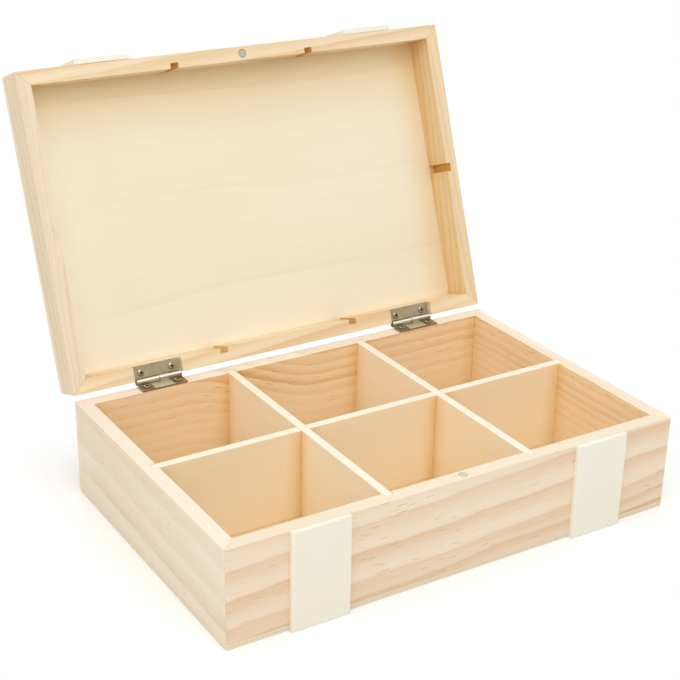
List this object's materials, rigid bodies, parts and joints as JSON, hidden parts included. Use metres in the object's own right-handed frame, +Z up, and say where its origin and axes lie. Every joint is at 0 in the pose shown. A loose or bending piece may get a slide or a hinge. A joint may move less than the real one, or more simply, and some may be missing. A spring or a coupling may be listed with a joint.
{
  "type": "wooden storage chest",
  "caption": "Shallow rectangular pine chest with a hinged, magnet-held lid, pale strap slats on the front, and half-lapped dividers that make a grid of open compartments.",
  "frame": {"origin": "centre of the base's underside, on the surface that the chest stands on", "axes": "+X to the right along the front, +Y from the front to the back, +Z up"},
  "size_m": [0.3, 0.2868, 0.2494],
  "materials": {
    "pine": "bare sanded pine with open grain",
    "plywood": "bare sanded thin plywood",
    "divider_wood": "bare sanded thin plywood",
    "slat_wood": "bare sanded pale wood",
    "hinge_metal": "nickel-plated pressed steel",
    "magnet": "plated disc magnet"
  },
  "bodies": {
    "base": {"bottom_panel": "plywood", "front_wall": "pine", "back_wall": "pine", "left_wall": "pine", "right_wall": "pine", "long_divider": "divider_wood", "left_short_divider": "divider_wood", "right_short_divider": "divider_wood", "left_front_slat": "slat_wood", "right_front_slat": "slat_wood", "base_magnet": "magnet", "left_hinge_base_leaf": "hinge_metal", "left_hinge_base_screw_left": "hinge_metal", "left_hinge_base_screw_right": "hinge_metal", "left_hinge_pin": "hinge_metal", "right_hinge_base_leaf": "hinge_metal", "right_hinge_base_screw_left": "hinge_metal", "right_hinge_base_screw_right": "hinge_metal", "right_hinge_pin": "hinge_metal"},
    "lid": {"lid_front_rail": "pine", "lid_back_rail": "pine", "lid_left_rail": "pine", "lid_right_rail": "pine", "lid_panel": "plywood", "left_lid_slat": "slat_wood", "right_lid_slat": "slat_wood", "lid_magnet": "magnet", "left_hinge_lid_leaf": "hinge_metal", "left_hinge_lid_screw_left": "hinge_metal", "left_hinge_lid_screw_right": "hinge_metal", "right_hinge_lid_leaf": "hinge_metal", "right_hinge_lid_screw_left": "hinge_metal", "right_hinge_lid_screw_right": "hinge_metal"}
  },
  "joints": [
    {"name": "lid_hinge", "type": "hinge", "parent": "base", "child": "lid", "pos_m": [0, 0.098, 0.0624], "axis": [1, 0, 0], "range_deg": [0, 110]}
  ]
}
